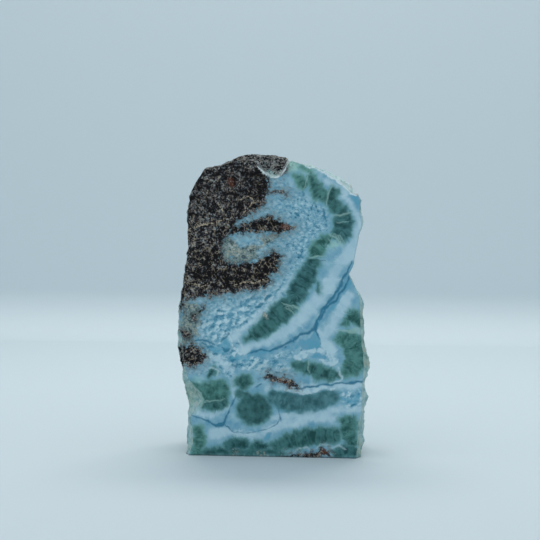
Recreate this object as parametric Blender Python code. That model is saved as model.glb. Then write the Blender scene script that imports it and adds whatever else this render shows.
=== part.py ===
"""Rough larimar: a broken slab of blue pectolite in its basalt, polished on the front.

The stone grew as one piece, so it is one closed solid. Its front is a polished flat,
its base is sawn flat so that it stands, and its flanks, top and back are broken rock.
Sizes below are millimetres. X runs to the right across the polished front, Z up, and
the front looks toward -Y. The mesh is scaled to metres at the end.
"""
import math

import bmesh
import bpy
from mathutils import Vector, noise

MM = 0.001

THICKNESS = 32.0
TOP_THICKNESS = 26.0
HEIGHT = 100.0
HALF_WIDTH = 32.0

# The broken flanks stand out from a spine up the middle of the slab.
SPINE_TOP = 72.0

# The polished border, seen from the front, up the left side, over the top and down the
# right side: x, z, and how far the broken flank behind stands proud of the border.
OUTLINE = (
    (-28.0, 0.0, 1.5), (-26.5, 4.3, 3.3), (-26.5, 8.0, 3.2), (-27.3, 13.1, 2.2),
    (-25.4, 15.8, 3.9), (-23.4, 18.5, 6.1), (-24.1, 20.5, 5.9), (-25.8, 22.9, 5.1),
    (-27.8, 25.5, 3.5), (-28.8, 28.2, 2.4), (-29.4, 31.6, 2.2), (-29.7, 35.6, 2.8),
    (-30.4, 40.3, 2.5), (-30.7, 45.0, 1.9), (-30.7, 50.0, 1.7), (-29.8, 55.7, 1.4),
    (-28.6, 63.7, 1.4), (-27.9, 69.0, 1.5), (-28.1, 75.0, 1.2), (-27.7, 83.9, 1.4),
    (-27.0, 87.9, 1.0), (-25.7, 90.9, 0.5), (-24.0, 93.2, 0.5), (-22.3, 95.7, 0.8),
    (-19.8, 95.9, 0.9), (-16.8, 96.8, 1.0), (-13.8, 98.0, 0.8), (-11.2, 98.5, 1.5),
    (-8.2, 98.8, 1.9), (-5.9, 98.4, 2.9), (-5.1, 97.4, 3.4), (-3.6, 95.9, 5.0),
    (-1.9, 94.4, 6.3), (-0.3, 93.1, 7.7), (1.1, 93.2, 7.5), (2.9, 93.6, 6.9),
    (4.0, 95.6, 5.1), (5.3, 97.7, 1.5), (6.5, 98.7, 0.5), (8.6, 97.9, 0.6),
    (14.6, 96.1, 0.9), (17.5, 94.8, 0.9), (20.2, 93.0, 1.3), (22.5, 91.7, 1.9),
    (24.4, 89.8, 2.0), (26.1, 88.3, 1.7), (28.0, 87.8, 1.0), (29.2, 85.9, 0.6),
    (29.0, 81.9, 0.7), (29.7, 79.0, 0.9), (29.4, 76.4, 0.7), (28.6, 74.4, 0.5),
    (27.5, 67.5, 0.4), (26.8, 63.8, 0.2), (25.4, 61.2, 0.1), (26.6, 58.6, 0.5),
    (28.2, 55.9, 0.4), (29.0, 53.6, 1.3), (29.0, 51.6, 2.1), (29.2, 49.3, 1.3),
    (29.4, 42.4, 1.4), (29.9, 38.1, 1.3), (30.4, 34.4, 1.6), (30.6, 31.1, 2.2),
    (30.3, 28.1, 1.9), (30.1, 24.4, 1.1), (29.8, 22.1, 1.5), (30.0, 20.1, 2.5),
    (29.8, 17.4, 1.5), (29.7, 15.1, 1.4), (28.8, 12.0, 2.6), (28.7, 8.7, 2.3),
    (28.5, 5.0, 2.6), (28.1, 0.0, 1.5),
)
OUTLINE_STEP = 1.75

# How deep behind the front the flank has risen to its full stand. The notch in the top
# edge is one slanting break, so it takes more depth.
FLANK_REACH = 3.8
NOTCH_REACH = 6.5
NOTCH = (-5.5, 5.5)

# Depths behind the front at which the flanks are shaped, closer together at both ends.
DEPTHS = (0.0, 0.9, 2.0, 3.4, 5.0, 6.8, 8.7, 10.6, 12.6, 14.6, 16.6, 18.6, 20.6, 22.6, 24.6,
          26.6, 28.4, 30.0, 31.2, 32.0)

# Per millimetre of depth, the left flank widens a little and the right one draws in.
LEFT_FALL = -0.07
RIGHT_FALL = 0.1

# The flanks turn over a rounded shoulder into the back.
SHOULDER = 8.0
SHOULDER_INSET = 3.5

# The deep breaks start at a crest that wanders between two depths along the outline.
CREST_NEAR = 3.0
CREST_FAR = 13.0
CREST_WANDER = 14.0
CREST_RELIEF = 0.08
RELIEF_REACH = 5.0

# The back is cut into cells, swells toward its middle and is broken up behind its rim.
BACK_CELL = 2.5
BACK_BULGE = 3.5
BACK_SHOULDER = 12.0
BACK_RIM = 4.0
CUT_TOLERANCE = 0.05
ON_PLANE = 0.01

# The broken rock: large breaks, chips on them, and gas holes in the basalt. The facets
# of a break tilt and step by a share of its depth.
BREAK_SIZE = 17.0
BREAK_DEPTH = 7.0
CHIP_SIZE = 7.0
CHIP_DEPTH = 2.4
FACET_LEVEL = 0.2
FACET_TILT = 1.0
FACET_STEP = 0.2
FACET_BLEND = 2.2
PIT_SIZE = 4.6
PIT_DEPTH = 1.4
PIT_EDGE = (0.2, 0.45)
EVEN_OUT = 0.3

# The basalt fills the upper left; its ragged border with the larimar drops to the left.
BASALT_CORNER = Vector((-4.0, 0.0, 62.0))
BASALT_TOWARD = Vector((-0.62, 0.0, 0.78))
BASALT_BLEND = 6.0
BASALT_RAGGED = 5.0
BASALT_WAVE = 11.0

# Places far apart in the noise, so that one pattern doesn't follow another.
CREST_SEED = 40.0
PIT_SEED = Vector((3.1, 8.7, 5.9))
TILT_SEED = 5.0

STONE_COLOUR = (0.19, 0.38, 0.43, 1.0)
STONE_ROUGHNESS = 0.45
SMOOTH_ANGLE = math.radians(32.0)


def clear_scene():
    for item in list(bpy.data.objects):
        bpy.data.objects.remove(item, do_unlink=True)


def ease(value):
    """Smooth step from 0 to 1."""
    t = min(max(value, 0.0), 1.0)
    return t * t * (3.0 - 2.0 * t)


def thickness_share(z):
    """The slab thins evenly toward its top."""
    return 1.0 - (1.0 - TOP_THICKNESS / THICKNESS) * z / HEIGHT


def outward(x, z):
    """Direction from the spine to a point of the outline."""
    spine_z = min(max(z, 0.0), SPINE_TOP)
    return Vector((x, 0.0, z - spine_z)).normalized()


def walk_outline():
    """Points every OUTLINE_STEP or so along the polished border, ends included."""
    points = [Vector(OUTLINE[0])]
    for start, end in zip(OUTLINE, OUTLINE[1:]):
        a = Vector(start)
        b = Vector(end)
        length = (b.xy - a.xy).length
        pieces = max(1, round(length / OUTLINE_STEP))
        points += [a.lerp(b, (k + 1) / pieces) for k in range(pieces)]
    return points


def basalt_share(place):
    """1 in the basalt, 0 in the larimar, with a ragged border between."""
    ragged = BASALT_RAGGED * noise.noise(place / BASALT_WAVE)
    distance = (place - BASALT_CORNER).dot(BASALT_TOWARD) + ragged
    return ease(0.5 + distance / BASALT_BLEND)


def facet_level(point, place):
    """Depth of the tilted facet that belongs to one grain point."""
    turn = 2.0 * noise.cell_vector(point * TILT_SEED) - Vector((1.0, 1.0, 1.0))
    return FACET_LEVEL + FACET_TILT * turn.dot(place - point) + FACET_STEP * (turn.x + turn.y)


def facets(place, size):
    """Flat breaks that tilt every way and meet in short steps, from 0 to 1."""
    scaled = place / size
    distances, points = noise.voronoi(scaled)
    own = 0.5 + 0.5 * ease((distances[1] - distances[0]) * size / FACET_BLEND)
    level = own * facet_level(points[0], scaled) + (1.0 - own) * facet_level(points[1], scaled)
    return min(max(level, 0.0), 1.0)


def pits(place):
    """Small gas holes, from 0 to 1."""
    nearest = noise.voronoi(place / PIT_SIZE + PIT_SEED)[0][0]
    floor, rim = PIT_EDGE
    return ease((rim - nearest) / (rim - floor))


def broken_depth(place):
    """How deep the broken surface lies below the full form, in millimetres."""
    depth = BREAK_DEPTH * facets(place, BREAK_SIZE) + CHIP_DEPTH * facets(place, CHIP_SIZE)
    return depth + PIT_DEPTH * pits(place) * basalt_share(place)


def crest_depth(x, z):
    """How far behind the front the flank stands widest: it wanders along the outline."""
    level = 0.5 + noise.noise(Vector((x, CREST_SEED, z)) / CREST_WANDER)
    return CREST_NEAR + (CREST_FAR - CREST_NEAR) * min(max(level, 0.0), 1.0)


def flank_point(station, depth):
    """Place of a flank vertex for a point of the outline and a depth behind the front."""
    x, z, rise = station
    reach = NOTCH_REACH if NOTCH[0] < x < NOTCH[1] and z > SPINE_TOP else FLANK_REACH
    widest = crest_depth(x, z)
    open_rock = ease((depth - widest) / RELIEF_REACH)
    crest = ease(depth / CREST_NEAR) * (1.0 - open_rock)
    direction = outward(x, z)
    fall = LEFT_FALL + (RIGHT_FALL - LEFT_FALL) * (0.5 + 0.5 * direction.x)
    offset = rise * ease(depth / reach) - fall * max(0.0, depth - FLANK_REACH)
    offset -= SHOULDER_INSET * ease((depth - THICKNESS + SHOULDER) / SHOULDER) ** 2
    offset -= broken_depth(Vector((x, depth, z))) * (open_rock + CREST_RELIEF * crest)
    place = Vector((x, 0.0, z)) + offset * direction
    place.y = depth * thickness_share(place.z)
    return place


def wrap_flanks(bm):
    """A grid sheet bent around the outline: columns along it, rows through the depth."""
    stations = walk_outline()
    columns = len(stations) - 1
    rows = len(DEPTHS) - 1
    bmesh.ops.create_grid(bm, x_segments=columns, y_segments=rows, size=1.0)
    sheet = {}
    for vert in bm.verts:
        column = round((vert.co.x + 1.0) / 2.0 * columns)
        row = round((vert.co.y + 1.0) / 2.0 * rows)
        sheet[column, row] = vert
        vert.co = flank_point(stations[column], DEPTHS[row])
    return sheet, columns, rows


def close_faces(bm, sheet, columns, rows):
    """Polished front, flat back still to be broken, and sawn base."""
    bm.faces.new([sheet[column, 0] for column in range(columns + 1)])
    bm.faces.new([sheet[column, rows] for column in range(columns, -1, -1)])
    left_foot = [sheet[0, row] for row in range(rows + 1)]
    right_foot = [sheet[columns, row] for row in range(rows, -1, -1)]
    bm.faces.new(left_foot + right_foot)


def on_back_plane(place):
    """True on the flat that closes the flanks, before it is broken up."""
    return abs(place.y - THICKNESS * thickness_share(place.z)) < ON_PLANE


def slice_back(bm):
    """Cut the flat back into cells small enough to be broken up."""
    across = Vector((1.0, 0.0, 0.0))
    upward = Vector((0.0, 0.0, 1.0))
    side = math.ceil(HALF_WIDTH / BACK_CELL)
    levels = math.ceil(HEIGHT / BACK_CELL)
    planes = [(across * BACK_CELL * k, across) for k in range(-side, side + 1)]
    planes += [(upward * BACK_CELL * k, upward) for k in range(1, levels)]
    for origin, normal in planes:
        faces = back_faces(bm)
        edges = {edge for face in faces for edge in face.edges}
        verts = {vert for face in faces for vert in face.verts}
        bmesh.ops.bisect_plane(bm, geom=[*faces, *edges, *verts], dist=CUT_TOLERANCE,
                               plane_co=origin, plane_no=normal)


def back_faces(bm):
    return [face for face in bm.faces if all(on_back_plane(vert.co) for vert in face.verts)]


def break_back(bm):
    """Swell the back and break its surface into the same chips and ledges as the flanks."""
    faces = set(back_faces(bm))
    verts = {vert for face in faces for vert in face.verts}
    rim = [vert for vert in verts if touches_flank(vert, faces)]
    rim_places = [vert.co.copy() for vert in rim]
    for vert in verts.difference(rim):
        distance = min((vert.co - place).length for place in rim_places)
        swell = BACK_BULGE * math.sqrt(ease(distance / BACK_SHOULDER))
        vert.co.y += swell - broken_depth(vert.co) * ease(distance / BACK_RIM)


def touches_flank(vert, back):
    """True where a back vertex also belongs to a flank, and not only to the sawn base."""
    others = [face for face in vert.link_faces if face not in back]
    return any(max(corner.co.z for corner in face.verts) > ON_PLANE for face in others)


def even_out(bm):
    """Take the worst spikes off the broken rock, behind the crest of the flanks."""
    open_rock = [vert for vert in bm.verts if vert.co.y > CREST_NEAR and vert.co.z > ON_PLANE]
    bmesh.ops.smooth_vert(bm, verts=open_rock, factor=EVEN_OUT,
                          use_axis_x=True, use_axis_y=True, use_axis_z=True)


def build_stone():
    bm = bmesh.new()
    close_faces(bm, *wrap_flanks(bm))
    slice_back(bm)
    break_back(bm)
    even_out(bm)
    bmesh.ops.triangulate(bm, faces=bm.faces[:], quad_method='BEAUTY', ngon_method='BEAUTY')
    bmesh.ops.recalc_face_normals(bm, faces=bm.faces[:])
    centre_on_base(bm)
    bmesh.ops.scale(bm, vec=(MM, MM, MM), verts=bm.verts[:])
    mesh = bpy.data.meshes.new("larimar_stone")
    bm.to_mesh(mesh)
    bm.free()
    mesh.shade_smooth()
    mesh.set_sharp_from_angle(angle=SMOOTH_ANGLE)
    return mesh


def centre_on_base(bm):
    """Put the middle of the stone's bounding box over the origin, base at height 0."""
    xs = [vert.co.x for vert in bm.verts]
    ys = [vert.co.y for vert in bm.verts]
    shift = Vector((-(min(xs) + max(xs)) / 2.0, -(min(ys) + max(ys)) / 2.0, 0.0))
    bmesh.ops.translate(bm, vec=shift, verts=bm.verts[:])


def stone_material():
    material = bpy.data.materials.new("larimar")
    material.use_nodes = True
    shader = material.node_tree.nodes["Principled BSDF"]
    shader.inputs["Base Color"].default_value = STONE_COLOUR
    shader.inputs["Roughness"].default_value = STONE_ROUGHNESS
    shader.inputs["Metallic"].default_value = 0.0
    return material


def main():
    clear_scene()
    mesh = build_stone()
    stone = bpy.data.objects.new("larimar_stone", mesh)
    stone.data.materials.append(stone_material())
    bpy.context.scene.collection.objects.link(stone)


main()
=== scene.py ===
# %% [markdown]
# # Rough larimar, polished on one face
#
# Larimar is a blue pectolite that grew in the gas holes and cracks of a dark basalt. This stone was
# sawn and polished on its front, sawn flat below so that it stands, and left as it broke elsewhere.
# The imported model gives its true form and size. This script finishes it: it cuts the form finer,
# roughens the broken sides, lays out the growth pattern in millimetres, and paints it with nodes.

import math

import bmesh
import bpy
import numpy as np
from mathutils import Euler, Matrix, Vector, noise


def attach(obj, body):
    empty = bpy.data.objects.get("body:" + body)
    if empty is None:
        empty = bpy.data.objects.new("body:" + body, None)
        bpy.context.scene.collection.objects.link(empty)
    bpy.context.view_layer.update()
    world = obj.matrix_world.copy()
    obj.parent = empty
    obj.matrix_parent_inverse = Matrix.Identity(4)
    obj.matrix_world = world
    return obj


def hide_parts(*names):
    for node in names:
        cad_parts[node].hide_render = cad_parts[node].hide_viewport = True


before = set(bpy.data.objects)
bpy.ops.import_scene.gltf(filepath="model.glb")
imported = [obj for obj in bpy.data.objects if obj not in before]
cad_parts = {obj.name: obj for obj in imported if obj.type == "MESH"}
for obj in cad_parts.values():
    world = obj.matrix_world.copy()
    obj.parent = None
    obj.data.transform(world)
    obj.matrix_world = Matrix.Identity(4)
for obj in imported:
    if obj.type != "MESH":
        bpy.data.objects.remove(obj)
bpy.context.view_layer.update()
cad_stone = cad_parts["larimar_stone"]

# %% [markdown]
# ## The polished face as a drawing board
#
# Everything that is laid out is measured on the polished face: x to the right from a point
# 28 mm inside the left end of its foot, and z up from the table, both in millimetres. The pattern
# could also be drawn in the model's own metres, but then every number would depend on where the
# middle of the bounding box happens to lie.

# %% Find the polished face
MM = 0.001
FLAT = 0.01 * MM
FOOT_HALF = 28 * MM
corners = np.array([v.co for v in cad_stone.data.vertices])
FRONT = corners[:, 1].min()
on_foot = (corners[:, 1] < FRONT + FLAT) & (corners[:, 2] < FLAT)
ZERO_X = corners[on_foot, 0].min() + FOOT_HALF
print(f"polished face at y = {FRONT / MM:.2f} mm, drawing zero at x = {ZERO_X / MM:.2f} mm")

# %% [markdown]
# ## Camera
#
# The picture was taken from 60 cm with a long lens, a little from the right and from just above the
# top of the stone. A long lens keeps the upright edges parallel.

# %% Camera
CAMERA_DISTANCE = 0.600
CAMERA_HEIGHT = 0.115
CAMERA_LENS = 121.6
CAMERA_SENSOR = 36.0
CAMERA_TURN = math.radians(6)
CAMERA_DOWN = math.radians(5)
AIM_X = ZERO_X - 0.6 * MM

camera = bpy.data.objects.new("camera", bpy.data.cameras.new("camera"))
bpy.context.scene.collection.objects.link(camera)
bpy.context.scene.camera = camera
camera.data.sensor_width = CAMERA_SENSOR
camera.data.lens = CAMERA_LENS
camera.location = (AIM_X + CAMERA_DISTANCE * math.sin(CAMERA_TURN),
                   FRONT - CAMERA_DISTANCE * math.cos(CAMERA_TURN), CAMERA_HEIGHT)
camera.rotation_euler = Euler((math.radians(90) - CAMERA_DOWN, 0, CAMERA_TURN))
print("camera at", [round(v, 3) for v in camera.location])


# %% [markdown]
# ## Colours and shader arithmetic
#
# A colour is given as it would be mixed on a screen, from 0 to 255, and turned into the linear light
# that the shader works with. Masks are worked out with plain Python signs: the small class below
# holds one output socket, and each sign adds the Math node that it stands for.

# %% Colour chips and the shader class
def chip(red, green, blue):
    """A screen colour as linear red, green, blue and alpha."""
    def linear(v):
        v = v / 255
        return v / 12.92 if v <= 0.04045 else ((v + 0.055) / 1.055) ** 2.4
    return (linear(red), linear(green), linear(blue), 1.0)


class Signal:
    """One output socket; arithmetic on it adds Math nodes to the same material."""

    def __init__(self, socket):
        self.socket = socket
        self.tree = socket.id_data

    def math(self, operation, *others, clamp=False):
        values = [self, *others]
        return Shader(self.tree).node("ShaderNodeMath", values, operation=operation, use_clamp=clamp)

    def __add__(self, other):
        return self.math("ADD", other)

    def __radd__(self, other):
        return self.math("ADD", other)

    def __sub__(self, other):
        return self.math("SUBTRACT", other)

    def __rsub__(self, other):
        return (self * -1.0) + other

    def __mul__(self, other):
        return self.math("MULTIPLY", other)

    def __rmul__(self, other):
        return self.math("MULTIPLY", other)

    def __truediv__(self, other):
        return self.math("DIVIDE", other)

    def __neg__(self):
        return self * -1.0

    def __abs__(self):
        return self.math("ABSOLUTE")

    def low(self, other):
        """The smaller of the two."""
        return self.math("MINIMUM", other)

    def high(self, other):
        """The larger of the two."""
        return self.math("MAXIMUM", other)

    def step(self, start, end):
        """0 before start, 1 after end, and a smooth rise between; start may be the larger."""
        shader = Shader(self.tree)
        if start > end:
            return 1 - self.step(end, start)
        return shader.node("ShaderNodeMapRange", {0: self, 1: start, 2: end, 3: 0.0, 4: 1.0},
                           interpolation_type="SMOOTHSTEP")


class Shader:
    """Adds nodes to one material's tree."""

    def __init__(self, tree):
        self.tree = tree

    def node(self, kind, inputs=(), output=0, stops=(), **settings):
        """Adds a node: settings first, then the values or links of its inputs."""
        made = self.tree.nodes.new(kind)
        for number, (at, colour) in enumerate(stops):
            elements = made.color_ramp.elements
            if number == 0:
                elements.remove(elements[1])
            stop = elements.new(at) if number else elements[0]
            stop.position = at
            stop.color = colour
        for name, value in settings.items():
            setattr(made, name, value)
        pairs = inputs.items() if isinstance(inputs, dict) else enumerate(inputs)
        for key, value in pairs:
            if isinstance(value, Signal):
                self.tree.links.new(value.socket, made.inputs[key])
            else:
                made.inputs[key].default_value = value
        return Signal(made.outputs[output])

    def mix(self, factor, first, second):
        """Blends two colours."""
        return self.node("ShaderNodeMix", {0: factor, 6: first, 7: second}, output=2, data_type="RGBA")

    def ramp(self, value, *stops):
        """A colour for each value from 0 to 1, from stops of a place and a colour."""
        return self.node("ShaderNodeValToRGB", [value], stops=stops)

    def attribute(self, name):
        """A value that is stored on the mesh."""
        return self.node("ShaderNodeAttribute", output="Fac", attribute_name=name)

    def scaled(self, vector, *factors):
        """A vector stretched along its axes."""
        return self.node("ShaderNodeVectorMath", [vector, factors], operation="MULTIPLY")

    def noise(self, vector, scale, detail=2.0, roughness=0.5, distortion=0.0):
        return self.node("ShaderNodeTexNoise", {"Vector": vector, "Scale": scale, "Detail": detail,
                                                "Roughness": roughness, "Distortion": distortion})

    def cells(self, vector, scale, output="Distance", **settings):
        return self.node("ShaderNodeTexVoronoi", {"Vector": vector, "Scale": scale},
                         output=output, **settings)


def new_material(name):
    """An empty node material: its shader helper, its Principled BSDF and the material."""
    material = bpy.data.materials.new(name)
    material.use_nodes = True
    surface = material.node_tree.nodes["Principled BSDF"]
    return material, Shader(material.node_tree), surface


def feed(material, signal, socket):
    material.node_tree.links.new(signal.socket, socket)


# %% [markdown]
# ## Floor and backdrop
#
# The stone stands on a smooth pale sheet that turns up into a wall 30 cm behind it in a tight sweep.
# One edge is spun a quarter turn for the sweep and then extruded forwards and upwards.

# %% Floor and backdrop
SWEEP_START = 0.29
SWEEP_RADIUS = 0.024
SWEEP_STEPS = 16
FLOOR_HALF = 1.6
FLOOR_FORWARD = 1.9
WALL_HEIGHT = 0.6


def build_backdrop():
    bm = bmesh.new()
    start = FRONT + SWEEP_START
    ends = [bm.verts.new((side * FLOOR_HALF, start, 0)) for side in (-1, 1)]
    edge = bm.edges.new(ends)
    floor = bmesh.ops.extrude_edge_only(bm, edges=[edge])["geom"]
    bmesh.ops.translate(bm, verts=[g for g in floor if isinstance(g, bmesh.types.BMVert)],
                        vec=(0, -FLOOR_FORWARD, 0))
    spun = bmesh.ops.spin(bm, geom=[edge], axis=(1, 0, 0), cent=(0, start, SWEEP_RADIUS),
                          angle=math.radians(90), steps=SWEEP_STEPS)
    last = [g for g in spun["geom_last"] if isinstance(g, bmesh.types.BMEdge)]
    wall = bmesh.ops.extrude_edge_only(bm, edges=last)["geom"]
    bmesh.ops.translate(bm, verts=[g for g in wall if isinstance(g, bmesh.types.BMVert)],
                        vec=(0, 0, WALL_HEIGHT))
    mesh = bpy.data.meshes.new("backdrop")
    bm.to_mesh(mesh)
    bm.free()
    mesh.shade_smooth()
    backdrop = bpy.data.objects.new("backdrop", mesh)
    bpy.context.scene.collection.objects.link(backdrop)
    return backdrop


backdrop = build_backdrop()
paper, _, paper_surface = new_material("pale_paper")
paper_surface.inputs["Base Color"].default_value = chip(187, 203, 210)
paper_surface.inputs["Roughness"].default_value = 0.7
backdrop.data.materials.append(paper)
print("backdrop spans", [round(v, 2) for v in backdrop.dimensions])

# %% [markdown]
# ## Light
#
# The stone stands in a white room: soft bluish light comes from all sides. One lamp above and a little
# behind the stone is slightly warm by contrast. It lights the floor and the upper edges and throws a
# short shadow forward. A weak one on the camera's side gives the broken flanks some form.

# %% Lights
ROOM_TINT = (0.905, 0.96, 1.0)
LAMP_TINT = (1.0, 0.875, 0.80)


def area_light(name, place, aim, size, power):
    data = bpy.data.lights.new(name, "AREA")
    data.shape = "RECTANGLE"
    data.size, data.size_y = size
    data.energy = power
    data.color = LAMP_TINT
    light = bpy.data.objects.new(name, data)
    light.location = place
    light.rotation_euler = (Vector(aim) - Vector(place)).to_track_quat("-Z", "Y").to_euler()
    bpy.context.scene.collection.objects.link(light)


area_light("light_above", (0.0, 0.21, 0.50), (0, 0.03, 0), (0.4, 0.14), 1.42)
area_light("light_front", (-0.3, -1.5, 0.50), (0, 0, 0.05), (1.4, 0.25), 1.5)

world = bpy.data.worlds.new("studio")
bpy.context.scene.world = world
world.use_nodes = True
world.node_tree.nodes["Background"].inputs["Color"].default_value = (*ROOM_TINT, 1)
world.node_tree.nodes["Background"].inputs["Strength"].default_value = 0.90

# %% [markdown]
# ## A finer mesh of the same form
#
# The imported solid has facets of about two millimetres, enough for its form but not for splinters and
# grains. A copy of it is welded, and the triangles of the polished face and of the base become one
# face each again. Cutting this mesh finer keeps the form, which a remesh would not.

# %% Copy the solid
WELD = 0.002 * MM


def on_front(vert):
    return vert.co.y < FRONT + FLAT


def on_base(vert):
    return vert.co.z < FLAT


def faces_within(bm, test):
    return [f for f in bm.faces if all(test(v) for v in f.verts)]


def broken_faces(bm):
    return [f for f in bm.faces
            if not all(on_front(v) for v in f.verts) and not all(on_base(v) for v in f.verts)]


stone = bmesh.new()
stone.from_mesh(cad_stone.data)
bmesh.ops.remove_doubles(stone, verts=stone.verts, dist=WELD)
bmesh.ops.dissolve_faces(stone, faces=faces_within(stone, on_front))
bmesh.ops.dissolve_faces(stone, faces=faces_within(stone, on_base))
print("welded copy:", len(stone.verts), "points,", len(stone.faces), "faces")

# %% [markdown]
# ## Small chips on the polished edge
#
# Where the saw and the polish met the break, the edge lost small flakes. The outline is halved until
# its points lie closer than a flake is wide, and each point moves inwards by a noise, in the plane of
# the face, so that the face stays flat.

# %% Chip the edge of the polished face
LONGEST_EDGE = 0.85 * MM
CHIP_DEPTH = 0.30
CHIP_SCALE = 0.42
PASSES = 4


def outline_of(bm):
    return [e for e in bm.edges if on_front(e.verts[0]) and on_front(e.verts[1])]


def chip_edge(bm):
    """Moves the outline's points inwards within the polished face."""
    for _ in range(PASSES):
        long_edges = [e for e in outline_of(bm) if e.calc_length() > LONGEST_EDGE]
        bmesh.ops.subdivide_edges(bm, edges=long_edges, cuts=1)
    bm.normal_update()
    inward = {}
    for v in {v for e in outline_of(bm) for v in e.verts if not on_base(v)}:
        side = sum((f.normal for f in v.link_faces if abs(f.normal.y) < 0.9), Vector())
        side.y = 0
        if side.length > 0:
            inward[v] = -side.normalized()
    for v, direction in inward.items():
        place = v.co / MM
        amount = max(0.0, noise.noise(place * CHIP_SCALE) + 0.1)
        amount += 0.5 * max(0.0, noise.noise(place * CHIP_SCALE * 2.7))
        v.co += direction * (amount * CHIP_DEPTH * MM)
    return len(inward)


print("chipped", chip_edge(stone), "edge points")

# %% [markdown]
# ## Cutting the flat faces into small squares
#
# The pattern is stored on the points of the mesh, so the flat faces need points too. Planes cut the
# polished face into squares about as wide as one thin vein, and the base into larger ones. This comes
# before the broken sides are cut finer, because every cut takes longer in a mesh with more faces.

# %% Slice the flat faces
FACE_SQUARE = 0.44 * MM
BASE_SQUARE = 1.5 * MM
X, Y, Z = range(3)


def slice_flat(bm, test, axis, square):
    """Cuts the faces that lie wholly within a test, square by square, along one axis."""
    faces = faces_within(bm, test)
    spots = [v.co[axis] for f in faces for v in f.verts]
    low, high = min(spots), max(spots)
    count = round((high - low) / square)
    normal = Vector((0, 0, 0))
    normal[axis] = 1
    for number in range(1, count):
        at = low + (high - low) * number / count
        faces = [f for f in faces if f.is_valid and max(v.co[axis] for v in f.verts) > at]
        geometry = set(faces)
        for f in faces:
            geometry.update(f.edges)
            geometry.update(f.verts)
        cut = bmesh.ops.bisect_plane(bm, geom=list(geometry), dist=WELD, plane_co=normal * at,
                                     plane_no=normal)
        faces = [g for g in cut["geom"] if isinstance(g, bmesh.types.BMFace)]
    return count


rows = slice_flat(stone, on_front, Z, FACE_SQUARE)
columns = slice_flat(stone, on_front, X, FACE_SQUARE)
slice_flat(stone, on_base, X, BASE_SQUARE)
slice_flat(stone, on_base, Y, BASE_SQUARE)
print("polished face cut into", columns, "columns and", rows, "rows")

# %% [markdown]
# ## Broken surface
#
# Larimar is made of fine fibres and breaks into steps and splinters. Basalt breaks rough, with grains
# and small gas pits. Every long edge of the broken sides is halved until none is longer than a grain.
# Then both kinds of break are pressed into the surface along its normals, only ever inwards, so that
# the stone keeps the size of the solid. The relief starts at nothing on the polished edge.

# %% Cut the broken sides finer and press the relief into them
EDGE_EASE = 1.4
LEAST_RISE = 0.05 * MM
SMOOTHING = 0.35
RELIEF = ((0.50, 0.22), (0.34, 0.55), (0.20, 1.3))


def halve_long_edges(bm):
    """Halves each long edge of the broken sides, again and again, and keeps them triangles."""
    for _ in range(PASSES):
        bmesh.ops.triangulate(bm, faces=[f for f in broken_faces(bm) if len(f.verts) > 3],
                              quad_method="BEAUTY")
        long_edges = {e for f in broken_faces(bm) for e in f.edges
                      if e.calc_length() > LONGEST_EDGE}
        if not long_edges:
            break
        bmesh.ops.subdivide_edges(bm, edges=list(long_edges), cuts=1, use_grid_fill=True)


def ridged(place, scale):
    """0 on the ridges of a noise and up to 1 between them."""
    return min(1.0, abs(noise.noise(place * scale)) * 2.2)


def relief_depth(place):
    """Millimetres that the break lies below the solid at a place in millimetres."""
    return sum(amount * ridged(place, scale) for amount, scale in RELIEF)


def smooth_share(value, full):
    """0 to 1, easing in and out, as value goes from 0 to full."""
    share = min(max(value / full, 0.0), 1.0)
    return share * share * (3 - 2 * share)


def roughen(bm):
    """Moves the points of the broken sides inwards."""
    rough = [v for v in bm.verts if not on_front(v) and not on_base(v)]
    bmesh.ops.smooth_vert(bm, verts=rough, factor=SMOOTHING, use_axis_x=True, use_axis_y=True,
                          use_axis_z=True)
    bm.normal_update()
    for v in rough:
        place = v.co / MM
        ease = smooth_share(place.y - FRONT / MM, EDGE_EASE) * smooth_share(place.z, EDGE_EASE)
        v.co -= v.normal * (relief_depth(place) * ease * MM)
        v.co.y = max(v.co.y, FRONT + LEAST_RISE)
        v.co.z = max(v.co.z, LEAST_RISE)
    return len(rough)


halve_long_edges(stone)
print("roughened", roughen(stone), "points")

# %% [markdown]
# ## The stone as an object
#
# The finished mesh stands in for the imported solid and rides on the model's one body.

# %% Make the object
def flaps(bm):
    """Faces that share all their points with another: folds with nothing inside."""
    by_points = {}
    for f in bm.faces:
        by_points.setdefault(frozenset(f.verts), []).append(f)
    return [f for faces in by_points.values() if len(faces) > 1 for f in faces]


bmesh.ops.delete(stone, geom=flaps(stone), context="FACES")
bmesh.ops.triangulate(stone, faces=[f for f in stone.faces if len(f.verts) > 4])
bmesh.ops.recalc_face_normals(stone, faces=stone.faces)
print("stone has", len(stone.verts), "points,", sum(len(f.verts) - 2 for f in stone.faces), "triangles")

mesh = bpy.data.meshes.new("larimar_finished")
stone.to_mesh(mesh)
stone.free()
larimar = bpy.data.objects.new("larimar_finished", mesh)
bpy.context.scene.collection.objects.link(larimar)
mesh.shade_smooth()
mesh.set_sharp_from_angle(angle=math.radians(50))

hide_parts("larimar_stone")
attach(larimar, "root")

# %% [markdown]
# ## Where each point lies in the growth pattern
#
# The pattern is drawn once, on the polished face. Inside a real stone the same bands go on, but they
# bend and split. So each point of the mesh gets a place on the drawing: on the polished face its own
# place, and behind it a place that drifts further away the deeper the point lies. That keeps the
# bands whole where they cross an edge, and still gives the sides and the back shapes of their own.

# %% Places on the drawing
DRIFT = 13.0
DRIFT_GRAIN = 0.045
DRIFT_FULL = 22.0
PULL_IN = 0.30
PULL_TO = (0.0, 46.0)
RAGGED = ((0.55, 0.38), (0.25, 1.0))

spots = np.empty(len(mesh.vertices) * 3, np.float32)
mesh.vertices.foreach_get("co", spots)
spots = spots.reshape(-1, 3) / MM


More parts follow.
